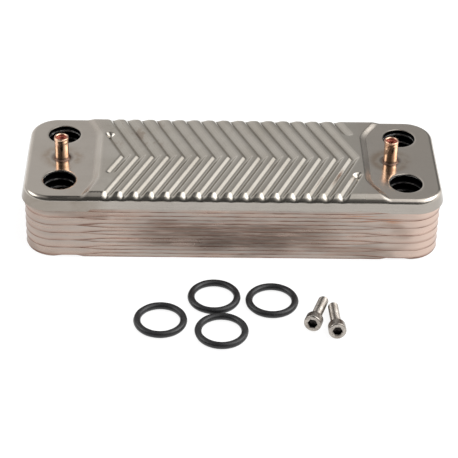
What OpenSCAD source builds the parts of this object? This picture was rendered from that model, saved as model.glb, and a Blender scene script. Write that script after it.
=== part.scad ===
// Brazed plate heat exchanger for a combination boiler, with its port seals and fixing screws.
// Pressed steel plates nest in one another by their sloping rims and are joined by copper.
// X runs along the block, Y across it and Z up through the plates.
// The origin is the centre of the rim that the block rests on, and the ports face up.

/* [Plate stack] */
// Number of pressed plates, the cover plate and the back plate included
plate_count = 14; // [8:2:20]
// Height from one plate to the next
plate_pitch = 2.24; // [2.2:0.01:2.4]
// Sheet thickness of a channel plate and of the back plate
sheet = 0.4; // [0.35:0.05:0.45]
// Sheet thickness of the cover plate
cover_sheet = 0.5; // [0.4:0.05:0.6]
// Copper filled gap where two plates meet
braze_gap = 0.1; // [0.08:0.01:0.12]
// Height of a plate's middle surface above its rim's lower edge
rim_drop = 6.45; // [6.2:0.05:6.8]

/* [Outline] */
// Length of a channel plate over its rim
plate_l = 206.8; // [203:0.2:208]
// Width of a channel plate over its rim
plate_w = 75; // [73.4:0.2:76]
// Length that the cover plate has more than a channel plate
cover_extra_l = 2.4; // [1.6:0.2:3]
// Width that the cover plate has more than a channel plate
cover_extra_w = 1.2; // [1.2:0.2:2]
// Corner radius of a plate in plan
corner_r = 15; // [15:0.5:17]
// Rounding between a channel plate's face and its rim
shoulder_r = 1.6; // [1.2:0.1:1.8]
// Rounding between the cover plate's face and its rim
cover_shoulder_r = 2; // [1.6:0.1:2.4]

/* [Ports] */
// Distance between port centres along the block
port_span_x = 172; // [171:0.5:172.5]
// Distance between port centres across the block
port_span_y = 42; // [41:0.5:42]
// Diameter of a port
port_d = 16.5; // [15:0.5:18]
// Outer diameter of the pressed ring round a port
port_ring_d = 26; // [25:0.5:26]

/* [Corrugation] */
// Distance between neighbouring grooves along the block
groove_pitch = 7.69; // [7.5:0.01:7.8]
// Angle between a groove and the width of the block
groove_angle = 23.5; // [20:0.5:26]
// Number of grooves, the short one at each end included
groove_count = 17; // [15:1:17]
// Where the first groove's point lies along the block
first_groove_x = -54.1; // [-55:0.1:-53]
// Width of a groove at the top
groove_top_w = 5.8; // [5:0.1:6.2]
// Width of a groove's floor
groove_floor_w = 1.8; // [1.2:0.1:2.4]
// Where the raised middle of a plate starts
field_start_x = -68; // [-69:0.5:-67.5]
// Where the raised middle of a plate ends
field_end_x = 67.5; // [67:0.5:69]

/* [Threaded sleeves] */
// Outer diameter of a sleeve
sleeve_d = 7.25; // [7:0.05:8]
// Height of a sleeve above the cover plate
sleeve_h = 12.2; // [8:0.2:16]
// Core diameter of the thread in a sleeve
thread_core_d = 4.2; // [4:0.1:4.4]
// Place of the left sleeve along the block
left_sleeve_x = -86; // [-87:0.1:-80]
// Place of the right sleeve along the block
right_sleeve_x = 79.7; // [78:0.1:87]
// Place of both sleeves across the block
sleeve_y = -0.5; // [-1:0.1:1]

/* [Port seals] */
// Inner diameter of an O-ring
seal_inner_d = 18.64; // [17:0.1:20]
// Cord diameter of an O-ring
seal_cord_d = 3.53; // [2.6:0.1:3.6]

/* [Fixing screws] */
// Thread diameter of a screw
screw_d = 5; // [4:0.5:5]
// Length of a screw under its head
screw_l = 18; // [16:1:20]
// Diameter of a screw's head
screw_head_d = 8.5; // [8:0.1:9]
// Height of a screw's head
screw_head_h = 5; // [4:0.5:5]
// Width across the flats of the hexagon socket
socket_w = 4; // [3:0.5:4]

/* [Hidden] */
// Every rim slopes outwards so that the next one nests inside it with the braze gap between them.
rim_angle = asin((sheet + braze_gap) / plate_pitch);
// Half the height that separates a plate's raised surface from its lowered one
press = (plate_pitch - sheet - braze_gap) / 2;
last_plate = plate_count - 1;
first_channel_z = rim_drop + (last_plate - 1) * plate_pitch;
cover_underside_z = first_channel_z + press + sheet / 2 + braze_gap;
pad_top_z = cover_underside_z + cover_sheet;
plateau_top_z = pad_top_z + 2 * press;
cover_rim_z = last_plate * plate_pitch;
cover_l = plate_l + cover_extra_l;
cover_w = plate_w + cover_extra_w;
// How far the rim's lower edge drops or rises beside the ports, and where it changes
rim_dip = 1.1;
rim_rise = 0.9;
rim_change_start_x = 68;
rim_change_end_x = 72.5;
rim_corner_x = 86;
rim_end_blend = 6;
// The raised middle of a channel plate stops short of the shoulders.
field_half_w = 33.8;
groove_half_w = 33.2;
// The short grooves: the first stops before the edges and the last starts away from the middle.
first_groove_back_y = 21;
first_groove_front_y = 17;
last_groove_back_y = 20.7;
last_groove_front_y = 14.5;
// A sloping part of the rim that is filled with copper, measured up from the rim's lower edge
seam_start = 1;
seam_end = 3;
cover_seam_start = 0.2;
cover_seam_end = 2;
seam_clearance = 0.01;
port_seam_w = 3;
chamfer = 0.4;
sleeve_mouth = 0.8;
fillet_size = 0.9;
screw_tip_chamfer = 0.8;
socket_depth = 2.6;
reach = 120;
big_fn = 96;
arc_fn = 48;
seal_center_r = (seal_inner_d + seal_cord_d) / 2;
// The seals and screws lie on the surface in front of the block.
seal_places = [[-34.8, -90.3], [-9.2, -71.7], [-5.8, -98.1], [18.7, -74.3]];
// Each screw: centre of the head's face, and the direction from head to tip
screw_places = [[37, -96.1, 73], [48.6, -101.7, 92]];
screw_tilt = atan((screw_head_d - screw_d) / 2 / (screw_l - screw_tip_chamfer));

steel = [0.68, 0.65, 0.61];
skirt_steel = [0.72, 0.62, 0.56];
copper = [0.75, 0.44, 0.29];
rubber = [0.13, 0.13, 0.14];
screw_steel = [0.55, 0.52, 0.49];

function two_digits(n) = n < 10 ? str("0", n) : str(n);
function channel_name(n) = str("channel_plate_", two_digits(n));
function joint_name(n) = str("braze_joint_", two_digits(n));
function seal_name(n) = str("o_ring_", n);
function screw_name(n) = str("cap_screw_", n);

// Height of plate number i's middle surface; plate 0 is the cover
function plate_z(i) = rim_drop + (last_plate - i) * plate_pitch;

// Distance of the rim's outer surface from the corner's centre, at a height above the rim's edge
function rim_reach(height, inset) = corner_r - inset / cos(rim_angle) - height * tan(rim_angle);

// ---------- Rims ----------

// Carries a profile round the outline of a plate and fills the middle.
// The profile's x is the distance from the corner's centre line and its y is the height.
module round_the_plate(length, width, low, high) {
    cx = length / 2 - corner_r;
    cy = width / 2 - corner_r;
    for (mx = [0, 1], my = [0, 1])
        mirror([mx, 0, 0]) mirror([0, my, 0])
            translate([cx, cy, 0])
                rotate_extrude(angle = 90, $fn = big_fn) children();
    for (my = [0, 1])
        mirror([0, my, 0])
            translate([-cx, cy, 0])
                rotate([90, 0, 90]) linear_extrude(2 * cx) children();
    for (mx = [0, 1])
        mirror([mx, 0, 0])
            translate([cx, cy, 0])
                rotate([90, 0, 0]) linear_extrude(2 * cy) children();
    translate([-cx, -cy, low]) cube([2 * cx, 2 * cy, high - low]);
}

// A solid block with a plate's outer shape, made smaller all round by inset.
// rim_z is the height of the rim's edge, top the plate's face and low the block's lower end.
module plate_block(length, width, rim_z, top, radius, inset, low) {
    center_z = top - radius;
    center_x = rim_reach(center_z - rim_z, 0) - radius / cos(rim_angle);
    r = radius - inset;
    round_the_plate(length, width, low, center_z + r)
        union() {
            polygon([
                [0, low],
                [rim_reach(low - rim_z, inset), low],
                [center_x + r * cos(rim_angle), center_z + r * sin(rim_angle)],
                [center_x, center_z + r],
                [0, center_z + r]
            ]);
            translate([center_x, center_z]) circle(r, $fn = arc_fn);
        }
}

// What is cut away under the rim's edge. Beside the ports the edge lies lower or higher.
module under_the_rim(rim_z, front_step, back_step) {
    low = rim_z - 10;
    for (side = [0, 1]) {
        step = side == 0 ? front_step : back_step;
        mirror([0, side, 0])
            rotate([90, 0, 0])
                linear_extrude(reach)
                    polygon([
                        [-rim_corner_x, low],
                        [-rim_corner_x, rim_z + step],
                        [-rim_change_end_x, rim_z + step],
                        [-rim_change_start_x, rim_z],
                        [rim_change_start_x, rim_z],
                        [rim_change_end_x, rim_z + step],
                        [rim_corner_x, rim_z + step],
                        [rim_corner_x, low]
                    ]);
    }
    for (mx = [0, 1])
        mirror([mx, 0, 0])
            translate([rim_corner_x, 0, 0])
                rotate([90, 0, 90])
                    linear_extrude(reach - rim_corner_x)
                        polygon([
                            [-reach, low],
                            [-reach, rim_z + front_step],
                            [-rim_end_blend, rim_z + front_step],
                            [rim_end_blend, rim_z + back_step],
                            [reach, rim_z + back_step],
                            [reach, low]
                        ]);
}

// ---------- Corrugation ----------

// One straight arm of groove k between two distances from the centre line.
// thick is the sheet, lift the height of the middle surface; the inner shape is the groove's air.
module groove_arm(k, from_y, to_y, thick, lift, inner) {
    flank = atan(2 * press / ((groove_top_w - groove_floor_w) / 2));
    shift = thick / 2 * tan(flank / 2) * (inner ? -1 : 1);
    floor_z = lift - press + thick / 2 * (inner ? 1 : -1);
    wide_z = lift + press + thick / 2 * (inner ? 1 : -1);
    top_z = lift + press + (inner ? 5 : thick / 2);
    wide = groove_top_w / 2 + shift;
    narrow = groove_floor_w / 2 + shift;
    intersection() {
        translate([first_groove_x + k * groove_pitch, 0, 0])
            rotate([0, 0, groove_angle])
                rotate([90, 0, 0])
                    linear_extrude(2 * reach, center = true)
                        polygon([
                            [-narrow, floor_z], [narrow, floor_z],
                            [wide, wide_z], [wide, top_z],
                            [-wide, top_z], [-wide, wide_z]
                        ]);
        translate([-reach, from_y, lift - 10])
            cube([2 * reach, to_y - from_y, 20]);
    }
}

function arm_from(k, back) =
    k < groove_count - 1 ? 0 : back ? last_groove_back_y : last_groove_front_y;
function arm_to(k, back) =
    k > 0 ? groove_half_w : back ? first_groove_back_y : first_groove_front_y;

// All the grooves. Each is a V whose point lies towards +X.
module grooves(thick, lift, inner) {
    for (k = [0 : groove_count - 1], side = [0, 1]) {
        start = arm_from(k, side == 0);
        stop = arm_to(k, side == 0);
        wall = inner ? thick : 0;
        mirror([0, side, 0])
            groove_arm(k, start == 0 ? 0 : start + wall, stop - wall, thick, lift, inner);
    }
}

// ---------- Port rings ----------

// The pressed ring round a port. level is +1 where it is raised and -1 where it is lowered.
module port_ring(level, pierced) {
    outer = port_ring_d / 2;
    flat = outer - 1.4;
    inner = pierced ? port_d / 2 : 0;
    z = level * press;
    rotate_extrude($fn = big_fn)
        polygon([
            [inner, z - sheet / 2],
            [flat, z - sheet / 2],
            [outer, -sheet / 2],
            [outer, sheet / 2],
            [flat, z + sheet / 2],
            [inner, z + sheet / 2]
        ]);
}

module at_ports() {
    for (sx = [-1, 1], sy = [-1, 1])
        translate([sx * port_span_x / 2, sy * port_span_y / 2, 0]) children();
}

// ---------- Plates ----------

// One pressing, with its middle surface at z = 0. The front port rings are lowered and the back ones
// raised. Every second plate is turned half round, so the rings meet in pairs.
module channel_pressing(pierced, front_step, back_step) {
    difference() {
        union() {
            difference() {
                plate_block(plate_l, plate_w, -rim_drop, sheet / 2, shoulder_r, 0, -rim_drop - 2);
                plate_block(plate_l, plate_w, -rim_drop, sheet / 2, shoulder_r, sheet, -rim_drop - 3);
                translate([field_start_x, -field_half_w, -2])
                    cube([field_end_x - field_start_x, 2 * field_half_w, 4]);
                at_ports() cylinder(h = 4, d = port_ring_d, center = true, $fn = big_fn);
            }
            raised_field();
            for (sx = [-1, 1], sy = [-1, 1])
                translate([sx * port_span_x / 2, sy * port_span_y / 2, 0])
                    port_ring(sy, pierced);
            grooves(sheet, 0, false);
        }
        grooves(sheet, 0, true);
        under_the_rim(-rim_drop, front_step, back_step);
    }
}

// The raised middle of a channel plate, with the wall that joins it to the rest of the sheet
module raised_field() {
    length = field_end_x - field_start_x;
    translate([field_start_x, -field_half_w, press - sheet / 2])
        cube([length, 2 * field_half_w, sheet]);
    difference() {
        translate([field_start_x, -field_half_w, -sheet / 2])
            cube([length, 2 * field_half_w, press + sheet / 2]);
        translate([field_start_x + sheet, -field_half_w + sheet, -sheet])
            cube([length - 2 * sheet, 2 * (field_half_w - sheet), press + 2 * sheet]);
    }
}

module channel_plate(i) {
    color(skirt_steel)
        translate([0, 0, plate_z(i)])
            rotate([0, 0, 180 * (i % 2)])
                channel_pressing(true, -rim_dip, rim_rise);
}

module back_plate() {
    color(skirt_steel)
        translate([0, 0, plate_z(last_plate)])
            rotate([0, 0, 180 * (last_plate % 2)])
                channel_pressing(false, 0, 0);
}

// The cover's outer block at one face height
module cover_block(top, inset) {
    plate_block(cover_l, cover_w, cover_rim_z, top, cover_shoulder_r, inset, cover_rim_z - 2 - inset);
}

module cover_plate() {
    middle = cover_sheet / 2;
    color(steel)
        difference() {
            union() {
                intersection() {
                    difference() {
                        cover_block(pad_top_z, 0);
                        cover_block(pad_top_z, cover_sheet);
                    }
                    union() {
                        translate([-reach, -reach, 0])
                            cube([reach + field_start_x, 2 * reach, 2 * reach]);
                        translate([field_end_x, -reach, 0])
                            cube([reach - field_end_x, 2 * reach, 2 * reach]);
                    }
                }
                intersection() {
                    difference() {
                        cover_block(plateau_top_z, 0);
                        cover_block(plateau_top_z, cover_sheet);
                    }
                    translate([field_start_x, -reach, 0])
                        cube([field_end_x - field_start_x, 2 * reach, 2 * reach]);
                }
                intersection() {
                    difference() {
                        cover_block(plateau_top_z, 0);
                        cover_block(pad_top_z, cover_sheet);
                    }
                    for (x = [field_start_x, field_end_x - cover_sheet])
                        translate([x, -reach, 0])
                            cube([cover_sheet, 2 * reach, 2 * reach]);
                }
                grooves(cover_sheet, plateau_top_z - press - middle, false);
            }
            grooves(cover_sheet, plateau_top_z - press - middle, true);
            under_the_rim(cover_rim_z, -rim_dip, -rim_dip);
            at_ports() cylinder(h = 2 * reach, d = port_d, $fn = big_fn);
        }
}

// ---------- Copper ----------

// A sloping ring between two rims. Each rim is given by its plate's size, edge height and inset.
module rim_seam(outer_l, outer_w, outer_z, outer_inset, inner_l, inner_w, inner_z, inner_inset, low, high) {
    difference() {
        round_the_plate(outer_l, outer_w, low, high)
            polygon([
                [0, low],
                [rim_reach(low - outer_z, outer_inset), low],
                [rim_reach(high - outer_z, outer_inset), high],
                [0, high]
            ]);
        round_the_plate(inner_l, inner_w, low - 1, high + 1)
            polygon([
                [0, low - 1],
                [rim_reach(low - 1 - inner_z, inner_inset), low - 1],
                [rim_reach(high + 1 - inner_z, inner_inset), high + 1],
                [0, high + 1]
            ]);
    }
}

// The copper between plate i - 1 and plate i: a seam between their rims, and a ring at each port
// where the two plates meet
module braze_joint(i) {
    upper_z = (last_plate - i + 1) * plate_pitch;
    lower_z = upper_z - plate_pitch;
    port_y = port_span_y / 2 * (i % 2 == 1 ? -1 : 1);
    color(copper) {
        if (i == 1)
            rim_seam(cover_l, cover_w, cover_rim_z, cover_sheet + seam_clearance,
                plate_l, plate_w, lower_z, -seam_clearance,
                cover_rim_z + cover_seam_start, cover_rim_z + cover_seam_end);
        else
            rim_seam(plate_l, plate_w, upper_z, sheet + seam_clearance,
                plate_l, plate_w, lower_z, -seam_clearance,
                upper_z + seam_start, upper_z + seam_end);
        for (sx = [-1, 1])
            translate([sx * port_span_x / 2, port_y, plate_z(i) + press + sheet / 2 + seam_clearance])
                difference() {
                    cylinder(h = braze_gap - 2 * seam_clearance, r = port_d / 2 + port_seam_w, $fn = big_fn);
                    translate([0, 0, -1]) cylinder(h = 2, r = port_d / 2 + 0.15, $fn = big_fn);
                }
    }
}

// ---------- Threaded sleeves ----------

module sleeve() {
    r = sleeve_d / 2;
    core = thread_core_d / 2;
    color(copper)
        translate([0, 0, pad_top_z])
            rotate_extrude($fn = big_fn)
                polygon([
                    [core, 0],
                    [r, 0],
                    [r, sleeve_h - chamfer],
                    [r - chamfer, sleeve_h],
                    [core + sleeve_mouth, sleeve_h],
                    [core, sleeve_h - sleeve_mouth]
                ]);
}

// The copper that joins a sleeve to the cover plate, a hollow round fillet
module sleeve_fillet() {
    r = sleeve_d / 2;
    color(copper)
        translate([0, 0, pad_top_z])
            rotate_extrude($fn = big_fn)
                translate([r, 0])
                    difference() {
                        square(fillet_size);
                        translate([fillet_size, fillet_size]) circle(fillet_size, $fn = arc_fn);
                    }
}

module left_sleeve() {
    translate([left_sleeve_x, sleeve_y, 0]) sleeve();
}

module right_sleeve() {
    translate([right_sleeve_x, sleeve_y, 0]) sleeve();
}

module left_sleeve_fillet() {
    translate([left_sleeve_x, sleeve_y, 0]) sleeve_fillet();
}

module right_sleeve_fillet() {
    translate([right_sleeve_x, sleeve_y, 0]) sleeve_fillet();
}

// ---------- Loose seals and screws ----------

module o_ring(place) {
    color(rubber)
        translate([place[0], place[1], seal_cord_d / 2])
            rotate_extrude($fn = big_fn)
                translate([seal_center_r, 0]) circle(d = seal_cord_d, $fn = arc_fn);
}

// A socket head cap screw along +X, with the face of its head at x = 0
module screw_body() {
    head_r = screw_head_d / 2;
    r = screw_d / 2;
    tip = screw_head_h + screw_l;
    difference() {
        rotate([0, 90, 0])
            rotate_extrude($fn = big_fn)
                polygon([
                    [0, 0],
                    [head_r - chamfer, 0],
                    [head_r, chamfer],
                    [head_r, screw_head_h],
                    [r, screw_head_h],
                    [r, tip - screw_tip_chamfer],
                    [r - screw_tip_chamfer, tip],
                    [0, tip]
                ]);
        translate([-1, 0, 0])
            rotate([0, 90, 0])
                cylinder(h = socket_depth + 1, d = socket_w / cos(30), $fn = 6);
    }
}

// A screw lying on the edge under its head and on its tip
module cap_screw(place) {
    lift = screw_head_h * sin(screw_tilt) + screw_head_d / 2 * cos(screw_tilt);
    color(screw_steel)
        translate([place[0], place[1], lift])
            rotate([0, 0, place[2]])
                rotate([0, screw_tilt, 0]) screw_body();
}

cover_plate();
for (i = [1 : last_plate - 1]) channel_plate(i);
back_plate();
for (i = [1 : last_plate]) braze_joint(i);
left_sleeve();
right_sleeve();
left_sleeve_fillet();
right_sleeve_fillet();
for (i = [1 : len(seal_places)]) o_ring(seal_places[i - 1]);
for (i = [1 : len(screw_places)]) cap_screw(screw_places[i - 1]);
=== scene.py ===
"""Looks for a brazed plate heat exchanger, its loose seals and its loose screws.

Lengths are in millimetres inside the functions that make shapes, and in metres in Blender.
X runs along the block, Y across it towards the back, Z up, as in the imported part.
"""
import math

import bmesh
import bpy
import numpy as np
from mathutils import Matrix, Vector


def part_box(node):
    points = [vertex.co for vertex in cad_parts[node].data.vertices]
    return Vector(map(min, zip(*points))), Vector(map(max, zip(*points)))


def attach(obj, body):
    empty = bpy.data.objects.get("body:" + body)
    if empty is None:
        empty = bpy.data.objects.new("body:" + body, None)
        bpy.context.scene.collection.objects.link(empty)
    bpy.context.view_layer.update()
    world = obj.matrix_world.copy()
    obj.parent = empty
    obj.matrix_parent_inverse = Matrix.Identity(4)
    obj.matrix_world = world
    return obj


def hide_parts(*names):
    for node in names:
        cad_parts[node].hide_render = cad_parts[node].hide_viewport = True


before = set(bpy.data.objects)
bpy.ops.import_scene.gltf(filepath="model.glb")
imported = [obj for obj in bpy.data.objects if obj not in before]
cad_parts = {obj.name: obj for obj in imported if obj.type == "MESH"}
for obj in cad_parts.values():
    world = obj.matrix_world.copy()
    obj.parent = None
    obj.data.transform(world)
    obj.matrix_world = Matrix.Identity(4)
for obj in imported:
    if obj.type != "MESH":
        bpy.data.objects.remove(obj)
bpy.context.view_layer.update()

MM = 0.001
BLOCK = "block"

# ---------- Sizes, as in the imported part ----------

PLATES = 14
LAST = PLATES - 1
SHEET = 0.4
COVER_SHEET = 0.5
BRAZE_GAP = 0.1
CORNER = 15.0
SHOULDER = 1.6
COVER_ROLL_END = 2.0
PORT_X = 86.0
PORT_Y = 21.0
PORT_R = 8.25
PORT_RING_R = 13.0
GROOVE_PITCH = 7.69
GROOVE_ANGLE = math.radians(23.5)
GROOVES = 17
FIRST_GROOVE_X = -54.1
FIELD_LEFT = -67.8
FIELD_RIGHT = 67.2
RIM_DIP = 1.1
RIM_RISE = 0.9
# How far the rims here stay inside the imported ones
RIM_INSET = 0.12
# Width of the band along a plate's outline that is made of rings instead of grid
RING_BAND = 3.3
# The back plate's lower edge stays this far above the floor
LOWEST_EDGE = 0.15
# Unevenness of the rims: of the whole stack, of one plate, and of a plate's lower edge
STACK_WAVE = 0.05
PLATE_WAVE = 0.03
EDGE_WAVE = 0.055
SHOULDER_RINGS = 10
# Shares of a rim's height at which it has a ring of points
RIM_RINGS = (0.12, 0.3, 0.5, 0.7, 0.86, 0.95, 1.0)
# Stands for the distance of a plate's face from its lower edge
FAR = 12.0
# Mean height of a copper bead
BEAD_DROP = 0.34


def box_mm(node):
    """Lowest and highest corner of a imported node, in millimetres."""
    low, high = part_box(node)
    return np.array(low) / MM, np.array(high) / MM


def plate_name(i):
    """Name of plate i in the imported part; plate 0 is the cover and the last one the back plate."""
    if i == 0:
        return "cover_plate"
    return "back_plate" if i == LAST else f"channel_plate_{i:02d}"


PITCH = (box_mm(plate_name(2))[1][2] - box_mm(plate_name(4))[1][2]) / 2
RIM_ANGLE = math.asin((SHEET + BRAZE_GAP) / PITCH)
RIM_SLOPE = math.tan(RIM_ANGLE)
PRESS = (PITCH - SHEET - BRAZE_GAP) / 2
PAD_TOP = box_mm("left_sleeve")[0][2]
PLATEAU = box_mm("cover_plate")[1][2] - PAD_TOP
CHANNEL_HALF_L, CHANNEL_HALF_W = box_mm("back_plate")[1][:2]
COVER_HALF_L, COVER_HALF_W = box_mm("cover_plate")[1][:2] - RIM_DIP * RIM_SLOPE
RIM_DROP = box_mm("back_plate")[1][2] - PRESS - SHEET / 2


def rim_z(i):
    """Height of the lower edge of plate i's rim."""
    return (LAST - i) * PITCH


# ---------- Small helpers ----------


def smoothstep(low, high, x):
    t = np.clip((x - low) / (high - low), 0, 1)
    return t * t * (3 - 2 * t)


def smooth_min(a, b, width):
    h = np.clip(0.5 + 0.5 * (b - a) / width, 0, 1)
    return b * (1 - h) + a * h - width * h * (1 - h)


def quad_mesh(name, points, quads):
    """A Blender mesh from an array of points in millimetres and an array of quads."""
    mesh = bpy.data.meshes.new(name)
    mesh.vertices.add(len(points))
    mesh.vertices.foreach_set("co", (np.asarray(points) * MM).astype(np.float32).ravel())
    mesh.loops.add(4 * len(quads))
    mesh.loops.foreach_set("vertex_index", np.asarray(quads, np.int32).ravel())
    mesh.polygons.add(len(quads))
    mesh.polygons.foreach_set("loop_start", np.arange(0, 4 * len(quads), 4, dtype=np.int32))
    mesh.update(calc_edges=True)
    return mesh


def add_piece(name, mesh, body, material, slot, *replaced, sharp=40):
    """Puts a mesh in the scene as a smooth shaded piece that rides on a body."""
    mesh.shade_smooth()
    mesh.set_sharp_from_angle(angle=math.radians(sharp))
    mesh.materials.append(material)
    piece = bpy.data.objects.new(name, mesh)
    bpy.context.scene.collection.objects.link(piece)
    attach(piece, body)
    if replaced:
        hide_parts(*replaced)


def point_attribute(mesh, name, values):
    attribute = mesh.attributes.new(name, "FLOAT", "POINT")
    attribute.data.foreach_set("value", np.asarray(values, np.float32))


def mesh_points(mesh):
    """A mesh's points as an array, in millimetres."""
    points = np.zeros(3 * len(mesh.vertices))
    mesh.vertices.foreach_get("co", points)
    return points.reshape(-1, 3) / MM


def grid_quads(rows, columns, closed_rows=False, closed_columns=False, flip=False):
    """Quads that join a grid of points numbered row by row."""
    r = np.arange(rows if closed_rows else rows - 1)
    c = np.arange(columns if closed_columns else columns - 1)
    r, c = np.meshgrid(r, c, indexing="ij")
    r1, c1 = (r + 1) % rows, (c + 1) % columns
    quads = np.stack([r * columns + c, r * columns + c1, r1 * columns + c1, r1 * columns + c], -1)
    quads = quads.reshape(-1, 4)
    return quads[:, ::-1] if flip else quads


# ---------- Pressed plates ----------

APEX_ROUND = 0.35
GROOVE_SLOPE = 1.0
GROOVE_FLOOR = 0.5
FLOOR_ROUND = 0.12
CREST_ROUND = 0.45
FIRST_END_BACK = 19.0
FIRST_END_FRONT = 15.0
LAST_START_BACK = 22.7
LAST_START_FRONT = 16.5


def groove_height(x, y):
    """Height of the corrugation above its valleys, from 0 to PLATEAU.
    The grooves are Vs with their points to +X."""
    reach = np.sqrt(y * y + APEX_ROUND**2) - APEX_ROUND
    along = x + math.tan(GROOVE_ANGLE) * reach - FIRST_GROOVE_X
    k = np.clip(np.rint(along / GROOVE_PITCH), 0, GROOVES - 1)
    across = (along - k * GROOVE_PITCH) * math.cos(GROOVE_ANGLE)
    back = y > 0
    past_end = np.abs(y) - np.where(back, FIRST_END_BACK, FIRST_END_FRONT)
    before_start = np.where(back, LAST_START_BACK, LAST_START_FRONT) - np.abs(y)
    beyond = np.where(k == 0, past_end, np.where(k == GROOVES - 1, before_start, 0))
    beyond = np.maximum(beyond, 0) / math.cos(GROOVE_ANGLE)
    past_floor = np.maximum(np.hypot(across, beyond) - GROOVE_FLOOR, 0)
    valley = np.sqrt((GROOVE_SLOPE * past_floor) ** 2 + FLOOR_ROUND**2) - FLOOR_ROUND
    return smooth_min(valley, PLATEAU, CREST_ROUND)


def field_share(x, y, width):
    """1 on the raised middle of a plate and 0 beside the ports.
    The two edges curve outwards near the rims."""
    bow = smoothstep(18, 40, np.abs(y))
    left = FIELD_LEFT - 6 * bow
    right = FIELD_RIGHT + 9 * bow
    past_left = smoothstep(left - width, left + width, x)
    past_right = smoothstep(right - width, right + width, x)
    return past_left * (1 - past_right)


def port_distance(x, y):
    return np.hypot(np.abs(x) - PORT_X, np.abs(y) - PORT_Y)


def cover_height(x, y):
    """Height of the cover's face above its pads."""
    rolled_in = 0.14 * (1 - smoothstep(PORT_R, PORT_R + 0.45, port_distance(x, y)))
    warp = 0.05 * np.sin(x / 17 + 0.6) * np.sin(y / 13 + 0.4)
    field = field_share(x, y, 2.2)
    return groove_height(x, y) * field + warp * (1 - field) - rolled_in


def channel_height(x, y, turned):
    """Height of a channel plate's face above the plane of its shoulders.
    Every second plate is turned half round."""
    side = -1 if turned else 1
    u, v = side * x, side * y
    inside = field_share(u, v, 1.0) * (1 - smoothstep(33.0, 34.2, np.abs(v)))
    corrugation = (groove_height(u, v) / PLATEAU * 2 - 1) * PRESS
    on_ring = 1 - smoothstep(PORT_RING_R - 1.6, PORT_RING_R, port_distance(x, y))
    return corrugation * inside + np.sign(v) * PRESS * on_ring


def channel_lip(x, y, i):
    """How far plate i's lower edge lies above its nominal height.
    Beside the ports it dips or rises."""
    front, back = (RIM_RISE, -RIM_DIP) if i % 2 else (-RIM_DIP, RIM_RISE)
    side = smoothstep(-7, 7, y)
    step = front * (1 - side) + back * side
    return step * smoothstep(61, 80, np.abs(x))


def cover_lip(x, y):
    """The same for the cover plate, all along each end."""
    left = -1.35 * smoothstep(69, 72, -x)
    right = -0.95 * smoothstep(67, 80, x)
    bump = 0.25 * smoothstep(58, 64, x) * (1 - smoothstep(66, 74, x))
    return left + right + bump


def back_lip(x, y):
    """The same for the back plate, whose edge rises beside the ports."""
    return 0.95 * smoothstep(72, 79, np.abs(x)) - 0.6 * smoothstep(83, 90, np.abs(x))


def waviness(s, seed, size):
    """A smooth, repeatable unevenness along an edge, at arc length s."""
    rng = np.random.default_rng(seed)
    total = np.zeros_like(s)
    length = s[-1]
    for turns in (5, 9, 16, 27, 44, 71):
        height = rng.normal() / math.sqrt(turns)
        total += height * np.sin(2 * np.pi * turns * s / length + rng.uniform(0, 6.28))
    return size * total


def outline_points(x, y, half_l, half_w):
    """For points on a plate's outline: the nearest point of the rectangle through the corners'
    centres, and the way out from it."""
    center_x = np.clip(x, -(half_l - CORNER), half_l - CORNER)
    center_y = np.clip(y, -(half_w - CORNER), half_w - CORNER)
    center = np.stack([center_x, center_y], -1)
    away = np.stack([x, y], -1) - center
    return center, away / np.linalg.norm(away, axis=-1, keepdims=True)


def outline_distance(x, y, half_l, half_w):
    """Distance of points from the rectangle through the corners' centres."""
    over_x = np.maximum(np.abs(x) - (half_l - CORNER), 0)
    over_y = np.maximum(np.abs(y) - (half_w - CORNER), 0)
    return np.hypot(over_x, over_y)


def plate_grid(half_l, half_w, inner_r, spacing):
    """The flat part of a plate as a grid whose sides follow the rounded outline."""
    straight = half_l - CORNER
    flat_w = half_w - CORNER
    count = int(round(2 * straight / spacing))
    steps = int(round(1.6 * inner_r / spacing)) + 1
    turn = inner_r * np.sin(np.linspace(0, math.pi / 2, steps))[1:]
    between = np.linspace(-straight, straight, count + 1)
    xs = np.concatenate([-straight - turn[::-1], between, straight + turn])
    over = np.clip(np.abs(xs) - straight, 0, inner_r)
    width = flat_w + np.sqrt(np.maximum(inner_r**2 - over**2, 0))
    rows = int(round(2 * (flat_w + inner_r) / spacing)) // 2 * 2
    share = np.linspace(-1, 1, rows + 1)
    x = np.broadcast_to(xs, (rows + 1, len(xs)))
    return x, share[:, None] * width[None, :]


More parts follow.
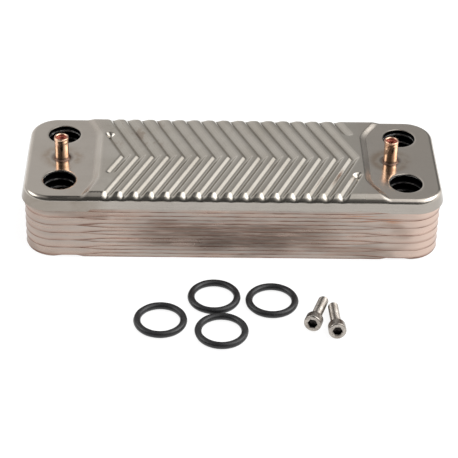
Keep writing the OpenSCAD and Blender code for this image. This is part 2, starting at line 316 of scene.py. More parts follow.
def port_patches(x, y, index, count):
    """Removes the grid round each port and joins the gap to a round hole with rings of quads."""
    rows, columns = x.shape
    keep = np.ones((rows - 1, columns - 1), bool)
    points, quads, loops = [], [], []
    # How far each ring lies outside the hole, and how much it leans towards the grid's edge
    rings = [(0, 0.0), (0.1, 0.0), (0.25, 0.0), (0.5, 0.0), (0.9, 0.35)]
    for sx in (-1, 1):
        for sy in (-1, 1):
            px, py = sx * PORT_X, sy * PORT_Y
            reach = PORT_R + 1.3
            near_x = np.where(np.abs(x[0] - px) < reach)[0]
            middle = int(np.argmin(np.abs(x[0] - px)))
            near_y = np.where(np.abs(y[:, middle] - py) < reach)[0]
            c0, c1, r0, r1 = near_x[0], near_x[-1], near_y[0], near_y[-1]
            keep[r0:r1, c0:c1] = False
            around = (
                [(r0, c) for c in range(c0, c1)]
                + [(r, c1) for r in range(r0, r1)]
                + [(r1, c) for c in range(c1, c0, -1)]
                + [(r, c0) for r in range(r1, r0, -1)]
            )
            outer = np.array([[x[r, c], y[r, c]] for r, c in around])
            angle = np.arctan2(outer[:, 1] - py, outer[:, 0] - px)
            way = np.stack([np.cos(angle), np.sin(angle)], -1)
            previous = np.array([index[r, c] for r, c in around])
            for out, mix in reversed(rings):
                circle = np.array([px, py]) + (PORT_R + out) * way
                points.append(circle * (1 - mix) + outer * mix)
                current = count + np.arange(len(around))
                count += len(around)
                corners = [previous, np.roll(previous, -1), np.roll(current, -1), current]
                quads.append(np.stack(corners, -1))
                previous = current
            loops.append(previous[::-1])
    return keep, points, quads, loops


def thicken(name, points, quads, loops, thickness):
    """Gives a sheet its thickness, downwards and inwards.
    The edges along its loops are slightly rounded."""
    skin = quad_mesh(name, points, quads)
    normals = np.zeros(3 * len(points), np.float32)
    skin.vertex_normals.foreach_get("vector", normals)
    normals = normals.reshape(-1, 3)
    bpy.data.meshes.remove(skin)
    n = len(points)
    all_points = [points, points - normals * thickness]
    all_quads = [quads, quads[:, ::-1] + n]
    start = 2 * n
    for loop in loops:
        loop = np.asarray(loop)
        following = np.roll(loop, -1)
        along = points[following] - points[np.roll(loop, 1)]
        out = np.cross(along, normals[loop])
        out /= np.maximum(np.linalg.norm(out, axis=1, keepdims=True), 1e-9)
        ring = []
        for depth in (0.2, 0.5, 0.8):
            bulge = thickness * 0.22 * math.sin(math.pi * depth)
            ring.append(points[loop] - normals[loop] * thickness * depth + out * bulge)
        m = len(loop)
        chain = [loop] + [start + j * m + np.arange(m) for j in range(3)] + [loop + n]
        start += 3 * m
        all_points += ring
        for a, b in zip(chain, chain[1:]):
            all_quads.append(np.stack([a, b, np.roll(b, -1), np.roll(a, -1)], -1))
    return np.concatenate(all_points), np.concatenate(all_quads)


def cover_shoulder(top):
    """The cover's edge is rolled down to one level, so it is rounder where the face is raised."""
    return (top + COVER_ROLL_END) / (1 - math.sin(RIM_ANGLE))


def channel_shoulder(top):
    """The same radius all round."""
    return np.full_like(top, SHOULDER)


def flat_face(half_l, half_w, inner_r, spacing, open_ports):
    """A plate's face as flat points and quads, with the points on its outer edge in order and the
    loops round its ports."""
    x, y = plate_grid(half_l, half_w, inner_r, spacing)
    rows, columns = x.shape
    index = np.arange(x.size).reshape(x.shape)
    points = [np.stack([x.ravel(), y.ravel()], -1)]
    quads, loops = [grid_quads(rows, columns)], []
    if open_ports:
        keep, ring_points, ring_quads, loops = port_patches(x, y, index, x.size)
        points += ring_points
        quads = [quads[0].reshape(rows - 1, columns - 1, 4)[keep]] + ring_quads
    edge = np.concatenate([index[0, :], index[1:, -1], index[-1, -2::-1], index[-2:0:-1, 0]])
    return np.concatenate(points), quads, edge, loops


def pressed_plate(
    name, half_l, half_w, low, face, shoulder, thickness, height, lip, spacing, seed, open_ports
):
    """A whole pressed plate: face, rolled shoulder and sloping rim with an uneven lower edge.

    low and face are the heights of the rim's lower edge and of the face. shoulder(top) gives the
    shoulder's radius, height(x, y) the face's relief and lip(x, y) the lower edge's.
    Returns the mesh, and what copper_bead needs to know of the rim."""
    inner_r = CORNER - RING_BAND
    flat, quads, edge, loops = flat_face(half_l, half_w, inner_r, spacing, open_ports)

    def rim_reach(z, wave=0.0):
        return CORNER - RIM_INSET - wave - (z - low) * RIM_SLOPE

    def roll_start(top, radius, wave=0.0):
        return rim_reach(face + top - radius, wave) - radius / math.cos(RIM_ANGLE)

    top = height(flat[:, 0], flat[:, 1])
    radius = shoulder(top)
    past = outline_distance(flat[:, 0], flat[:, 1], half_l, half_w) - roll_start(top, radius)
    past = np.clip(past, 0, radius)
    face_points = np.column_stack([flat, face + top - radius + np.sqrt(radius**2 - past**2)])

    # The rings from the grid's edge over the shoulder. Its radius depends on the face's height
    # where the ring ends up, so a few rounds settle both.
    edge_xy = flat[edge]
    center, way = outline_points(edge_xy[:, 0], edge_xy[:, 1], half_l, half_w)
    steps = np.linalg.norm(np.roll(edge_xy, -1, 0) - edge_xy, axis=1)
    s = np.concatenate([[0], np.cumsum(steps)[:-1]])
    wave = waviness(s, 11, STACK_WAVE) + waviness(s, seed + 50, PLATE_WAVE)
    rings, ring_z = [], []
    for share in np.linspace(0, 1, SHOULDER_RINGS + 1)[1:]:
        reach = np.full(len(edge), inner_r)
        for _ in range(4):
            at = center + way * reach[:, None]
            top = height(at[:, 0], at[:, 1])
            radius = shoulder(top)
            start = roll_start(top, radius, wave * share)
            first = np.arccos(np.clip((inner_r - start) / radius, 0, 1))
            turn = first + (RIM_ANGLE - first) * share
            reach = np.maximum(start + radius * np.cos(turn), inner_r + 0.02)
        rings.append(center + way * reach[:, None])
        ring_z.append(face + top - radius + radius * np.sin(turn))
    lip_at = center + way * CORNER
    lip_z = low + lip(lip_at[:, 0], lip_at[:, 1]) + waviness(s, seed, EDGE_WAVE)
    lip_z = np.maximum(lip_z, LOWEST_EDGE)

    # The rings down the rim
    turn_end = ring_z[-1]
    for share in RIM_RINGS:
        z = turn_end + (lip_z - turn_end) * share
        rings.append(center + way * rim_reach(z, wave)[:, None])
        ring_z.append(z)

    previous, count = edge, len(flat)
    rim_points, above_lip = [], []
    for ring, z in zip(rings, ring_z):
        rim_points.append(np.column_stack([ring, z]))
        above_lip.append(z - lip_z)
        current = count + np.arange(len(edge))
        count += len(edge)
        corners = [previous, current, np.roll(current, -1), np.roll(previous, -1)]
        quads.append(np.stack(corners, -1))
        previous = current
    points = np.concatenate([face_points] + rim_points)
    loops.append(previous)
    sheet_points, sheet_quads = thicken(name, points, np.concatenate(quads), loops, thickness)

    far_from_lip = np.full(len(face_points), FAR)
    lip_distance = np.concatenate([far_from_lip] + above_lip)
    mesh = quad_mesh(name, sheet_points, sheet_quads)
    cut = len(sheet_points) - 2 * len(points)
    point_attribute(mesh, "above_lip", np.concatenate([lip_distance, lip_distance, np.zeros(cut)]))
    point_attribute(mesh, "cut_edge", np.concatenate([np.zeros(2 * len(points)), np.ones(cut)]))
    return mesh, (center, way, s, lip_z, CORNER - RIM_INSET - wave, thickness)


# ---------- Copper along the rims ----------


def copper_bead(name, rim, low, seed):
    """The copper that fills the corner under a rim's lower edge, a thin uneven fillet."""
    center, way, s, lip_z, out_reach, thickness = rim
    lip_r = out_reach - (lip_z - low) * RIM_SLOPE
    wall = thickness + BRAZE_GAP
    drop = BEAD_DROP + np.clip(waviness(s, seed, 0.12), -0.2, 0.5)
    rings = [
        (lip_r - wall * 0.1, lip_z + 0.06),
        (lip_r - wall * 0.25, lip_z - 0.05 - 0.15 * drop),
        (lip_r - wall * 0.62 + 0.3 * drop * RIM_SLOPE, lip_z - 0.45 * drop),
        (lip_r - wall * 0.92 + drop * RIM_SLOPE, lip_z - drop),
        (lip_r - wall * 1.15, lip_z - 0.6 * drop),
        (lip_r - wall * 1.1, lip_z + 0.06),
    ]
    points = [np.column_stack([center + way * r[:, None], z]) for r, z in rings]
    quads = grid_quads(len(rings), len(s), closed_rows=True, closed_columns=True, flip=True)
    return quad_mesh(name, np.concatenate(points), quads)


# ---------- Turned pieces ----------


def turned_mesh(name, profile, segments, reshape):
    """A mesh made by turning a profile of (radius, height) round Z, with its points on the axis
    joined. reshape(angle, radius, height) gives the final radius."""
    profile = np.asarray(profile, float)
    angle = np.linspace(0, 2 * np.pi, segments, endpoint=False)[None, :]
    radius = np.repeat(profile[:, :1], segments, 1)
    height = np.repeat(profile[:, 1:], segments, 1)
    radius = reshape(angle, radius, height)
    points = np.stack([radius * np.cos(angle), radius * np.sin(angle), height], -1).reshape(-1, 3)
    quads = grid_quads(len(profile), segments, closed_columns=True, flip=True)
    mesh = quad_mesh(name, points, quads)
    work = bmesh.new()
    work.from_mesh(mesh)
    bmesh.ops.remove_doubles(work, verts=work.verts, dist=1e-7)
    work.to_mesh(mesh)
    work.free()
    return mesh


THREAD_PITCH = 0.8
THREAD_HEIGHT = 0.36


def thread_depth(angle, height):
    """0 on the crest and 1 in the root of a thread, with its slopes a little rounded."""
    phase = (height / THREAD_PITCH - angle / (2 * np.pi)) % 1
    return smoothstep(0.08, 0.48, phase) * (1 - smoothstep(0.58, 0.98, phase))


SLEEVE_H = 12.2
SLEEVE_R = 3.5


def sleeve_mesh(name, flare, dent):
    """A threaded sleeve: a foot, a plain wall, a slightly flared mouth, and the thread inside.
    flare leans its top towards -X, and dent presses one side of its mouth in."""
    foot = [(3.3, -0.05), (3.6, 0.0), (3.62, 0.5), (3.56, 1.1)]
    wall = [(SLEEVE_R, 1.8), (SLEEVE_R, 4.0), (SLEEVE_R, 7.0), (SLEEVE_R, 9.3)]
    flared = [(3.48, 9.7), (3.46, 10.0), (3.47, 10.2), (3.52, 10.5), (3.59, 10.9), (3.61, 11.5)]
    lip = [(3.58, 11.85), (3.48, 12.05), (3.3, 12.17), (3.12, SLEEVE_H), (2.95, 12.15)]
    lip += [(2.78, 12.02), (2.62, 11.8)]
    bore = [(2.5, z) for z in np.arange(11.55, 0.5, -0.1)] + [(2.3, 0.3), (0.0, 0.2)]
    outer = foot + wall + flared + lip
    profile = np.array(outer + bore)

    def reshape(angle, radius, height):
        inside = (np.arange(len(profile)) >= len(outer))[:, None] & (height > 0.4)
        threaded = 1 - smoothstep(10.9, 11.5, height)
        crest = THREAD_HEIGHT * (1 - thread_depth(angle, height) * threaded) * threaded
        radius = np.where(inside, radius - crest, radius)
        top = smoothstep(7.5, SLEEVE_H, height)
        side = np.exp(-((np.degrees(angle) - 215) / 24) ** 2)
        return radius * (1 + flare * top * np.cos(angle - math.pi)) - dent * top * side

    mesh = turned_mesh(name, profile, 96, reshape)
    x, y, z = mesh_points(mesh).T
    reach = np.hypot(x, y)
    within = (reach < 2.75) * smoothstep(SLEEVE_H, 11.7, z)
    # The flanks towards -X and +X, which the material darkens with painted shade.
    side = np.abs(x) / np.maximum(reach, 0.1)
    point_attribute(mesh, "inside", within)
    point_attribute(mesh, "side", smoothstep(0.86, 0.99, side) * (1 - within))
    return mesh


def fillet_mesh(name, seed):
    """The uneven ring of solder at a sleeve's foot."""
    profile = [(3.45, 1.05), (3.6, 0.85), (3.7, 0.6), (3.88, 0.38), (4.12, 0.2), (4.36, 0.08)]
    profile += [(4.5, -0.04), (3.4, -0.04)]
    rng = np.random.default_rng(seed)
    parts = [(turns, rng.normal(), rng.uniform(0, 6.28)) for turns in (1, 2, 3, 5, 8)]

    def reshape(angle, radius, height):
        uneven = sum(size * np.sin(turns * angle + start) / turns for turns, size, start in parts)
        return radius + np.clip(0.16 * uneven, -0.3, 0.02) * smoothstep(0.9, 0.1, height)

    return turned_mesh(name, profile, 72, reshape)


def move_mesh(mesh, matrix):
    mesh.transform(matrix)
    mesh.update()
    return mesh


def o_ring_mesh(name, node, seed):
    """A moulded ring with a slightly uneven cord and a faint flash line inside and outside."""
    low, high = box_mm(node)
    cord_r = (high[2] - low[2]) / 2
    ring_r = (high[0] - low[0]) / 2 - cord_r
    rng = np.random.default_rng(seed)
    steps, sides = 200, 48
    around = np.linspace(0, 2 * np.pi, steps, endpoint=False)[:, None]
    section = np.linspace(0, 2 * np.pi, sides, endpoint=False)[None, :]
    flash = np.exp(-((np.sin(section) / 0.05) ** 2)) * 0.035
    soft = sum(
        0.012 * rng.normal() * np.sin(k * around + rng.uniform(0, 6.28)) for k in (2, 3, 5, 9)
    )
    r = cord_r - 0.04 + flash + soft - np.abs(soft)
    center = (low + high) / 2
    x = center[0] + (ring_r + r * np.cos(section)) * np.cos(around)
    y = center[1] + (ring_r + r * np.cos(section)) * np.sin(around)
    z = center[2] - 0.03 + r * np.sin(section) + 0 * around
    points = np.stack([x, y, z], -1).reshape(-1, 3)
    return quad_mesh(name, points, grid_quads(steps, sides, closed_rows=True, closed_columns=True))


SCREW_R = 2.5
SCREW_HEAD_R = 4.25
SCREW_HEAD_H = 5.0
SCREW_L = 18.0
SCREW_TIP = 0.8
SOCKET_HALF = 2.0
KNURLS = 48
# Where each screw lies: x, y, and the way it points, in degrees
SCREW_PLACES = ((37, -96.1, 73), (48.6, -101.7, 92))


def screw_mesh(name):
    """A socket head cap screw along +Z, with the face of its head at z = 0."""
    end = SCREW_HEAD_H + SCREW_L
    socket = [(0.0, 3.1), (1.1, 2.75), (1.8, 2.55), (1.99, 2.45), (2.0, 1.4), (2.0, 0.3)]
    socket += [(2.15, 0.12), (2.4, 0.0)]
    head = [(2.75, 0.0), (3.3, 0.0), (3.75, 0.02), (3.95, 0.08), (4.1, 0.2), (4.2, 0.4)]
    head += [(4.25, 0.55), (4.25, 1.6), (4.25, 3.0), (4.25, 4.3), (4.22, 4.6), (4.14, 4.85)]
    head += [(4.0, 4.97), (3.5, 5.0), (2.9, 5.0), (2.56, 5.12)]
    shank = [(SCREW_R, z) for z in np.arange(5.3, end - SCREW_TIP, 0.1)]
    tip = [(SCREW_R, end - SCREW_TIP), (2.2, end - 0.5), (1.75, end - 0.08)]
    tip += [(1.6, end), (0.8, end), (0.0, end)]
    profile = np.array(socket + head + shank + tip)
    in_socket = (np.arange(len(profile)) < len(socket))[:, None]

    def reshape(angle, radius, height):
        sector = (angle + math.pi / 6) % (math.pi / 3) - math.pi / 6
        hexagon = SOCKET_HALF / np.cos(sector)
        chamfer = np.maximum(radius - SOCKET_HALF, 0)
        opening = chamfer + hexagon * np.minimum(radius / SOCKET_HALF, 1)
        radius = np.where(in_socket & (radius > 1.7), opening, radius)
        side = smoothstep(0.45, 0.7, height) * (1 - smoothstep(4.4, 4.7, height)) * (radius > 4)
        radius = radius - 0.07 * side * (0.5 + 0.5 * np.cos(KNURLS * angle))
        threaded = smoothstep(5.6, 6.6, height)
        depth = 0.17 * thread_depth(angle, height) * threaded
        return np.where((height > 5.2) & (radius > 1.9), np.maximum(radius - depth, 1.9), radius)

    mesh = turned_mesh(name, profile, 192, reshape)
    x, y, z = mesh_points(mesh).T
    # Where the inside of the socket gets painted shade.
    socket_painted_shade = (np.hypot(x, y) < 2.6) * smoothstep(0.0, 0.5, z) * (z < 4)
    point_attribute(mesh, "socket_painted_shade", socket_painted_shade)
    return mesh


def screw_matrix(place):
    """Lays a screw on the edge under its head and on its tip."""
    x, y, heading = place
    tilt = math.atan((SCREW_HEAD_R - SCREW_R) / (SCREW_L - SCREW_TIP))
    lift = SCREW_HEAD_H * math.sin(tilt) + SCREW_HEAD_R * math.cos(tilt)
    lay_down = Matrix.Rotation(math.pi / 2 + tilt, 4, "Y")
    turn = Matrix.Rotation(math.radians(heading), 4, "Z") @ lay_down
    return Matrix.Translation(Vector((x, y, lift)) * MM) @ turn


# ---------- Materials ----------


class Nodes:
    """A short way to write a node tree. Its methods return outputs, apart from add and surface."""

    def __init__(self, tree):
        self.tree = tree
        tree.nodes.clear()

    def add(self, kind, inputs=None, **settings):
        """A node. Its inputs are numbers, colors or the outputs of other nodes."""
        node = self.tree.nodes.new(kind)
        for key, value in settings.items():
            setattr(node, key, value)
        for key, value in (inputs or {}).items():
            if isinstance(value, bpy.types.NodeSocket):
                self.tree.links.new(value, node.inputs[key])
            else:
                node.inputs[key].default_value = value
        return node

    def math(self, operation, a, b=0.0):
        return self.add("ShaderNodeMath", {0: a, 1: b}, operation=operation).outputs[0]

    def times(self, first, *rest):
        """The product of some values."""
        for value in rest:
            first = self.math("MULTIPLY", first, value)
        return first

    def hypot(self, a, b):
        return self.math("SQRT", self.math("ADD", self.times(a, a), self.times(b, b)))

    def remap(self, value, low, high, to_low=0.0, to_high=1.0, smooth=True):
        kind = "SMOOTHSTEP" if smooth else "LINEAR"
        inputs = {"Value": value, "From Min": low, "From Max": high}
        inputs.update({"To Min": to_low, "To Max": to_high})
        return self.add("ShaderNodeMapRange", inputs, interpolation_type=kind).outputs["Result"]

    def rise(self, value, low, high):
        """0 at low and 1 at high, in millimetres. low may be the greater of the two."""
        return self.remap(value, low * MM, high * MM)

    def window(self, value, low, full, full_end, end):
        """1 from full to full_end, and 0 before low and after end, in millimetres."""
        return self.times(self.rise(value, low, full), self.rise(value, end, full_end))

    def levels(self, value, low, high, stops):
        """A number that follows the stops, each (value, level), with straight lines between."""
        share = self.remap(value, low, high, smooth=False)
        node = self.add("ShaderNodeValToRGB", {0: share})
        elements = node.color_ramp.elements
        while len(elements) < len(stops):
            elements.new(0.5)
        most = max(level for _, level in stops)
        for element, (place, level) in zip(elements, stops):
            element.position = (place - low) / (high - low)
            element.color = (level / most, level / most, level / most, 1)
        return self.times(node.outputs["Color"], most)

    def blend(self, share, a, b):
        return self.math("ADD", a, self.times(share, self.math("SUBTRACT", b, a)))

    def mix(self, share, a, b):
        node = self.add("ShaderNodeMix", data_type="RGBA")
        for key, value in (("Factor", share), ("A", a), ("B", b)):
            socket = [i for i in node.inputs if i.name == key and i.enabled][0]
            if isinstance(value, bpy.types.NodeSocket):
                self.tree.links.new(value, socket)
            else:
                socket.default_value = (*value, 1.0) if key != "Factor" else value
        return [o for o in node.outputs if o.enabled][0]

    def tint(self, color, other, *shares):
        """The color turned towards the other one, by the product of the shares."""
        return self.mix(self.times(*shares), color, other)

    def noise(self, vector, scale, detail=3.0, roughness=0.5, distortion=0.0):
        inputs = {"Vector": vector, "Scale": scale, "Detail": detail, "Roughness": roughness}
        inputs["Distortion"] = distortion
        return self.add("ShaderNodeTexNoise", inputs).outputs["Fac"]

    def place(self):
        return self.add("ShaderNodeTexCoord").outputs["Object"]

    def axes(self, vector):
        parts = self.add("ShaderNodeSeparateXYZ", {0: vector})
        return [parts.outputs[axis] for axis in "XYZ"]

    def stretched(self, vector, scale):
        return self.add("ShaderNodeMapping", {"Vector": vector, "Scale": scale}).outputs["Vector"]

    def attribute(self, name):
        return self.add("ShaderNodeAttribute", attribute_name=name).outputs["Fac"]

    def bump(self, height, strength, distance, normal=None):
        inputs = {"Height": height, "Strength": strength, "Distance": distance}
        if normal is not None:
            inputs["Normal"] = normal
        return self.add("ShaderNodeBump", inputs).outputs["Normal"]

    def surface(self, color, roughness, normal=None, **constants):
        """The shader and the output. The constants are set on the shader's own sockets."""
        shader = self.add("ShaderNodeBsdfPrincipled")
        for key, value in (("Base Color", color), ("Roughness", roughness), ("Normal", normal)):
            if isinstance(value, bpy.types.NodeSocket):
                self.tree.links.new(value, shader.inputs[key])
            elif value is not None:
                shader.inputs[key].default_value = value
        for key, value in constants.items():
            socket = key.replace("_", " ").title().replace("Ior", "IOR")
            shader.inputs[socket].default_value = value
        output = self.add("ShaderNodeOutputMaterial")
        self.tree.links.new(shader.outputs[0], output.inputs["Surface"])
        return shader


def new_material(name):
    material = bpy.data.materials.new(name)
    material.use_nodes = True
    return material, Nodes(material.node_tree)


def sleeve_axis(node):
    low, high = box_mm(node)
    return (low[:2] + high[:2]) / 2


def sleeve_stains(n, place, color, blotches):
    """Heat tint round each sleeve: a dark foot and a wide brown ring, both uneven."""
    for node in ("left_sleeve", "right_sleeve"):
        x, y = sleeve_axis(node)
        place_x, place_y, _ = n.axes(place)
        dx = n.math("SUBTRACT", place_x, x * MM)
        dy = n.math("SUBTRACT", place_y, y * MM)
        uneven = n.times(n.math("SUBTRACT", blotches, 0.5), 4 * MM)
        distance = n.math("ADD", n.hypot(dx, dy), uneven)
        ring = n.window(distance, 4.5, 8.5, 8.5, 12.5)
        ring_share = n.remap(blotches, 0.35, 0.65, 0.1, 0.75)
        color = n.tint(color, (0.33, 0.25, 0.185), ring, ring_share)
        foot = n.rise(distance, 6.5, 4.5)
        foot_share = n.remap(blotches, 0.3, 0.6, 0.35, 0.95)
        color = n.tint(color, (0.17, 0.13, 0.105), foot, foot_share)
    return color


def cover_material():
    """Pressed stainless sheet: satin, with soft stains, fine rolling marks, heat tint, and painted
    shade on the left end of its skirt.
    """
    material, n = new_material("cover_steel")
    place = n.place()
    x, y, z = n.axes(place)
    from_middle = n.math("ABSOLUTE", x)
    clouds = n.noise(place, 38, 4, 0.6, 0.4)
    blotches = n.noise(place, 120, 3, 0.6)
    marks = n.noise(n.stretched(place, (60, 1500, 1500)), 1.0, 2, 0.6)
    grain = n.noise(place, 2600, 2, 0.5)

    color = n.mix(n.remap(clouds, 0.35, 0.7), (0.505, 0.47, 0.418), (0.44, 0.404, 0.352))
    pads = n.times(n.rise(from_middle, 60, 72), n.rise(z, PAD_TOP - 2.5, PAD_TOP - 0.5))
    color = n.tint(color, (0.47, 0.418, 0.37), pads, 0.6)
    skirt = n.rise(z, PAD_TOP - 1.5, PAD_TOP - 2.5)
    color = n.tint(color, (0.385, 0.355, 0.32), skirt, 0.9)
    # Painted shade: the skirt darker and browner towards the left end.
    left_skirt_painted_shade = n.times(n.rise(x, -60, -72), skirt)
    color = n.tint(color, (0.25, 0.215, 0.18), left_skirt_painted_shade, n.remap(clouds, 0.3, 0.6, 0.55, 1.0))
    color = n.tint(color, (0.40, 0.365, 0.33), n.remap(blotches, 0.55, 0.8, 0.0, 0.35))
    color = sleeve_stains(n, place, color, blotches)
    first_grooves = n.times(n.window(x, -66, -58, -40, -30), n.rise(y, 4, 16))
    stains = n.remap(blotches, 0.48, 0.66, 0.0, 0.55)
    color = n.tint(color, (0.27, 0.20, 0.15), first_grooves, stains)

    satin = n.remap(clouds, 0.3, 0.75, 0.15, 0.23)
    roughness = n.math("ADD", satin, n.remap(marks, 0.3, 0.7, -0.02, 0.03))
    slope = n.window(z, PAD_TOP + 0.01, PAD_TOP + 0.15, PAD_TOP + 1.3, PAD_TOP + 1.6)
    steps = n.times(slope, n.rise(from_middle, 64, 65.5))
    roughness = n.math("ADD", roughness, n.times(steps, 0.16))
    normal = n.bump(marks, 0.05, 0.2 * MM)
    normal = n.bump(grain, 0.05, 0.08 * MM, normal)
    n.surface(color, roughness, normal, metallic=1.0)
    return material


def port_shade(n, place, color):
    """Darkens the walls inside the ports, which no light reaches, and paints highlights on the cut
    edges there.
    Returns the color, and 1 inside the ports and 0 away from them."""
    x, y, _ = n.axes(place)
    dx = n.math("SUBTRACT", n.math("ABSOLUTE", x), PORT_X * MM)
    dy = n.math("SUBTRACT", n.math("ABSOLUTE", y), PORT_Y * MM)
    near = n.rise(n.hypot(dx, dy), 16, 13.5)
    color = n.tint(color, (0.03, 0.03, 0.034), near)
    # Painted highlight: the cut sheet edges inside the ports turned nearly white.
    uneven = n.remap(n.noise(place, 260, 2, 0.5), 0.38, 0.62, 0.12, 1.0)
    color = n.tint(color, (0.80, 0.78, 0.75), near, n.attribute("cut_edge"), uneven)
    return color, near


def channel_material():
    """Stainless rims with a thin film of braze copper, pinker and darker towards the lower edge,
    where the darkest band is partly painted shade.
    """
    material, n = new_material("channel_steel")
    place = n.place()
    x, _, z = n.axes(place)
    streaks = n.noise(n.stretched(place, (40, 40, 420)), 1.0, 4, 0.6, 0.3)
    fine_streaks = n.noise(n.stretched(place, (90, 90, 1600)), 1.0, 3, 0.6, 0.2)
    long_streaks = n.noise(n.stretched(place, (30, 30, 1500)), 1.0, 2, 0.5)
    clouds = n.noise(place, 30, 4, 0.55, 0.3)
    patches = n.noise(n.stretched(place, (22, 22, 90)), 1.0, 2, 0.5, 0.2)
    grain = n.noise(place, 1900, 2, 0.5)

    color = n.mix(n.remap(streaks, 0.32, 0.68), (0.47, 0.375, 0.32), (0.47, 0.425, 0.385))
    color = n.tint(color, (0.37, 0.29, 0.245), n.remap(clouds, 0.5, 0.75, 0.0, 0.5))
    # Lighter and more salmon towards the right end and darker towards the left end: partly the
    # copper film's own tint, partly painted light on the right and painted shade on the left.
    color = n.tint(color, (0.72, 0.54, 0.455), n.rise(x, 70, 95), 0.75)
    left_painted_shade_share = n.remap(clouds, 0.35, 0.65, 0.25, 0.8)
    color = n.tint(color, (0.36, 0.275, 0.235), n.rise(x, -60, -100), left_painted_shade_share)
    color = n.tint(color, (0.20, 0.145, 0.115), n.remap(patches, 0.56, 0.68), 0.5)
    # A darker brown band across the middle of the stack's length, between 5 and 23 mm up.
    middle_dark_band = n.times(n.window(x, -60, -30, 20, 55), n.window(z, 5, 9, 18, 23))
    middle_dark_band_share = n.remap(streaks, 0.36, 0.58, 0.1, 0.8)
    color = n.tint(color, (0.195, 0.145, 0.115), middle_dark_band, middle_dark_band_share)
    hot = n.times(n.window(x, 50, 62, 78, 88), n.rise(z, 20, 22.5))
    color = n.tint(color, (0.42, 0.20, 0.115), hot, n.remap(long_streaks, 0.56, 0.62), 0.8)

    # Brown towards each lower edge, which lies at 0 of this attribute; it counts in millimetres. The
    # brown is the copper film, and the darkest band at the edge is partly painted shade under the
    # lip.
    uneven = n.remap(fine_streaks, 0.3, 0.7, -0.22, 0.3)
    above = n.math("ADD", n.attribute("above_lip"), uneven)
    color = n.tint(color, (0.34, 0.215, 0.17), n.remap(above, 0.25, 1.35, 0.55, 0.0))
    color = n.tint(color, (0.165, 0.095, 0.07), n.remap(above, 0.0, 0.42, 0.95, 0.0))
    color, near_port = port_shade(n, place, color)

    satin = n.remap(streaks, 0.3, 0.7, 0.26, 0.36)
    roughness = n.math("ADD", satin, n.times(near_port, 0.2))
    normal = n.bump(grain, 0.08, 0.1 * MM)
    normal = n.bump(streaks, 0.12, 0.3 * MM, normal)
    n.surface(color, roughness, normal, metallic=1.0)
    return material


def braze_material():
    """Copper that has melted and set along the joints, dulled in places."""
    material, n = new_material("braze_copper")
    place = n.place()
    height = n.axes(place)[2]
    clouds = n.noise(place, 160, 4, 0.6, 0.5)
    fine = n.noise(place, 1500, 3, 0.6)
    color = n.mix(n.remap(clouds, 0.35, 0.65), (0.46, 0.26, 0.19), (0.24, 0.15, 0.115))
    at_sleeves = n.rise(height, PAD_TOP - 0.6, PAD_TOP - 0.1)
    dulled = n.remap(clouds, 0.4, 0.65, 0.95, 0.6)
    color = n.tint(color, (0.12, 0.075, 0.055), at_sleeves, dulled)
    normal = n.bump(fine, 0.25, 0.1 * MM)
    n.surface(color, n.remap(clouds, 0.3, 0.7, 0.3, 0.48), normal, metallic=1.0)
    return material


def sleeve_material():
    """Bright turned copper alloy with fine turning marks, redder and duller inside, and painted
    shade on its flanks towards -X and +X.
    """
    material, n = new_material("sleeve_copper")
    place = n.place()
    height = n.axes(place)[2]
    clouds = n.noise(place, 210, 3, 0.55, 0.3)
    drawn = n.noise(n.stretched(place, (900, 900, 60)), 1.0, 2, 0.5)
    turning = n.noise(n.stretched(place, (60, 60, 5200)), 1.0, 2, 0.5)
    inside = n.attribute("inside")
    color = n.mix(n.remap(clouds, 0.4, 0.7), (0.90, 0.64, 0.46), (0.78, 0.46, 0.31))
    color = n.tint(color, (0.60, 0.30, 0.19), n.remap(drawn, 0.5, 0.75, 0.0, 0.35))
    foot = n.rise(height, PAD_TOP + 2.2, PAD_TOP)
    color = n.tint(color, (0.20, 0.12, 0.085), foot, n.remap(clouds, 0.35, 0.6, 0.45, 0.9))
    # Painted shade: the flanks towards -X and +X darker and browner.
    color = n.tint(color, (0.40, 0.20, 0.145), n.attribute("side"), 0.85)
    color = n.tint(color, (0.46, 0.13, 0.085), inside)
    polish = n.remap(clouds, 0.35, 0.7, 0.12, 0.2)
    roughness = n.math("ADD", polish, n.times(inside, 0.3))
    shader = n.surface(color, roughness, n.bump(turning, 0.1, 0.06 * MM))
    metallic = n.remap(inside, 0.0, 1.0, 1.0, 0.45, smooth=False)
    n.tree.links.new(metallic, shader.inputs["Metallic"])
    return material


def rubber_material():
    """Black moulded rubber with a little dust."""
    material, n = new_material("seal_rubber")
    place = n.place()
    dust = n.noise(place, 1700, 3, 0.65)
    clouds = n.noise(place, 140, 3, 0.5)
    dusty = n.remap(dust, 0.55, 0.8, 0.0, 0.7)
    color = n.mix(dusty, (0.011, 0.011, 0.012), (0.075, 0.075, 0.08))
    roughness = n.remap(clouds, 0.3, 0.7, 0.32, 0.42)
    n.surface(color, roughness, n.bump(dust, 0.4, 0.13 * MM), specular_ior_level=0.5)
    return material


def screw_material():
    """Satin stainless screws with lengthwise streaks, and painted shade in the sockets."""
    material, n = new_material("screw_steel")
    place = n.place()
    clouds = n.noise(place, 260, 4, 0.6)
    fine = n.noise(place, 2400, 2, 0.5)
    along = n.noise(n.stretched(place, (1500, 70, 1500)), 1.0, 3, 0.6)
    color = n.mix(n.remap(clouds, 0.35, 0.65), (0.47, 0.435, 0.395), (0.32, 0.285, 0.25))
    color = n.tint(color, (0.17, 0.145, 0.125), n.remap(along, 0.45, 0.70, 0.0, 0.7))
    # Painted shade: the socket nearly black.
    color = n.tint(color, (0.025, 0.022, 0.02), n.attribute("socket_painted_shade"))
    roughness = n.remap(clouds, 0.3, 0.7, 0.2, 0.32)
    n.surface(color, roughness, n.bump(fine, 0.08, 0.06 * MM), metallic=1.0)
    return material


# ---------- Pieces ----------

cover_steel = cover_material()
channel_steel = channel_material()
braze_copper = braze_material()
sleeve_copper = sleeve_material()
seal_rubber = rubber_material()
screw_steel = screw_material()


